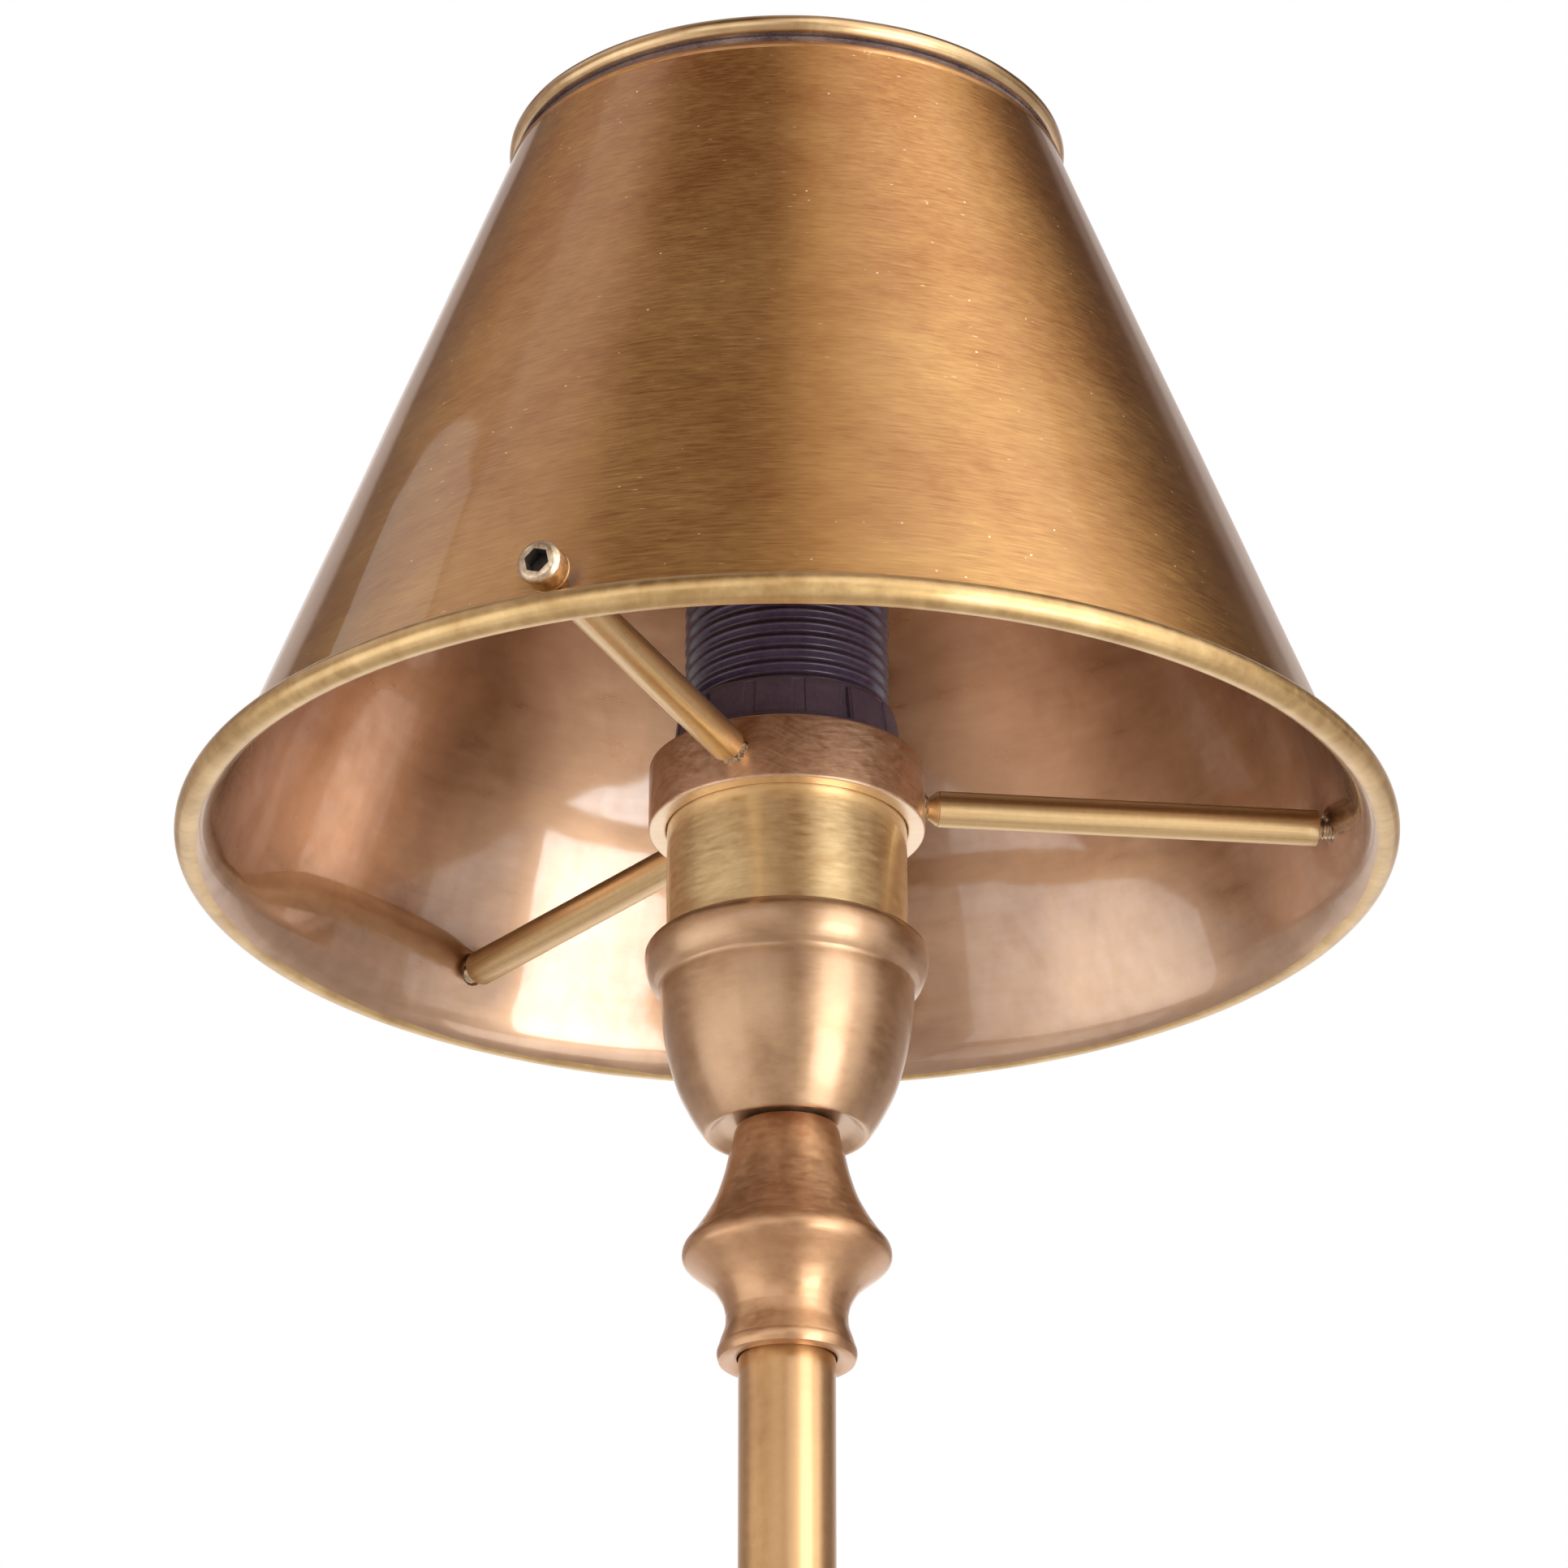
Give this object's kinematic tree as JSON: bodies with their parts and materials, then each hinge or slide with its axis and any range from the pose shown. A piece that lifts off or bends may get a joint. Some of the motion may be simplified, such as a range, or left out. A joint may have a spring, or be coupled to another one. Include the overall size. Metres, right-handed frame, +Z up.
{
  "type": "pharmacy floor lamp",
  "caption": "Floor lamp with a weighted round base, a height-adjustable brass stem with a thumbscrew clamp, and a conical metal shade on a spoked gallery ring.",
  "frame": {"origin": "on the floor, under the centre of the base", "axes": "+Z up along the stem; +Y to the rear, where the cable inlet is; +X to the right, where the thumbscrew points"},
  "size_m": [0.25, 0.253, 1.2514],
  "materials": {
    "aged_brass": "antique brass, satin with fine turning marks, clear lacquer",
    "shade_brass": "antique brass sheet, brushed round the cone, darkened and lacquered",
    "bead_brass": "paler brass, rubbed bright, lacquered",
    "raw_brass": "plain machined brass",
    "steel": "zinc plated steel",
    "cast_iron": "rough cast, painted black",
    "black_plastic": "moulded black thermoset with a soft shine",
    "nylon": "natural nylon",
    "ceramic": "glazed insulator",
    "rubber": "matt black foot pad"
  },
  "bodies": {
    "stand": {"base_pad": "rubber", "base_weight": "cast_iron", "base_cover": "aged_brass", "base_washer": "steel", "base_locknut": "steel", "base_nipple": "steel", "base_collar": "aged_brass", "cable_bush": "black_plastic", "cable_bush_nut": "black_plastic", "lower_pole": "aged_brass", "pole_plug": "raw_brass", "guide_bush": "nylon", "clamp_collar": "aged_brass"},
    "clamp_pad": {"clamp_pad": "nylon"},
    "thumbscrew": {"thumbscrew": "bead_brass"},
    "slider": {"riser_bush": "nylon"},
    "head": {"riser_tube": "aged_brass", "baluster_neck": "aged_brass", "husk": "aged_brass", "stem_nipple": "steel", "husk_washer": "steel", "earth_tag": "raw_brass", "husk_locknut": "steel", "holder_skirt": "black_plastic", "holder_cap": "black_plastic", "holder_core": "ceramic", "screw_shell": "raw_brass", "centre_contact": "raw_brass", "terminal_live": "raw_brass", "terminal_screw_live": "steel", "terminal_neutral": "raw_brass", "terminal_screw_neutral": "steel", "gallery_ring": "aged_brass", "shade_ring_nut": "black_plastic", "shade_wall": "shade_brass", "lower_bead": "bead_brass", "upper_bead": "bead_brass", "spoke_a": "bead_brass", "cap_screw_a": "bead_brass", "screw_washer_a": "bead_brass", "spoke_b": "bead_brass", "cap_screw_b": "bead_brass", "screw_washer_b": "bead_brass", "spoke_c": "bead_brass", "cap_screw_c": "bead_brass", "screw_washer_c": "bead_brass"}
  },
  "joints": [
    {"name": "riser_slide", "type": "slide", "parent": "stand", "child": "slider", "axis": [0, 0, 1], "range_m": [-0.12, 0.2]},
    {"name": "riser_swivel", "type": "hinge", "parent": "slider", "child": "head", "pos_m": [0, 0, 0.58], "axis": [0, 0, 1], "range_deg": [-180, 180]},
    {"name": "clamp_feed", "type": "slide", "parent": "stand", "child": "clamp_pad", "axis": [1, 0, 0], "range_m": [0, 0.0021]},
    {"name": "thumbscrew_turn", "type": "hinge", "parent": "clamp_pad", "child": "thumbscrew", "pos_m": [0.02, 0, 0.858], "axis": [1, 0, 0], "range_deg": [0, 720]}
  ],
  "couplings": [
    {"joint": "clamp_feed", "follows": "thumbscrew_turn", "m_per_rad": 0.00015915}
  ]
}
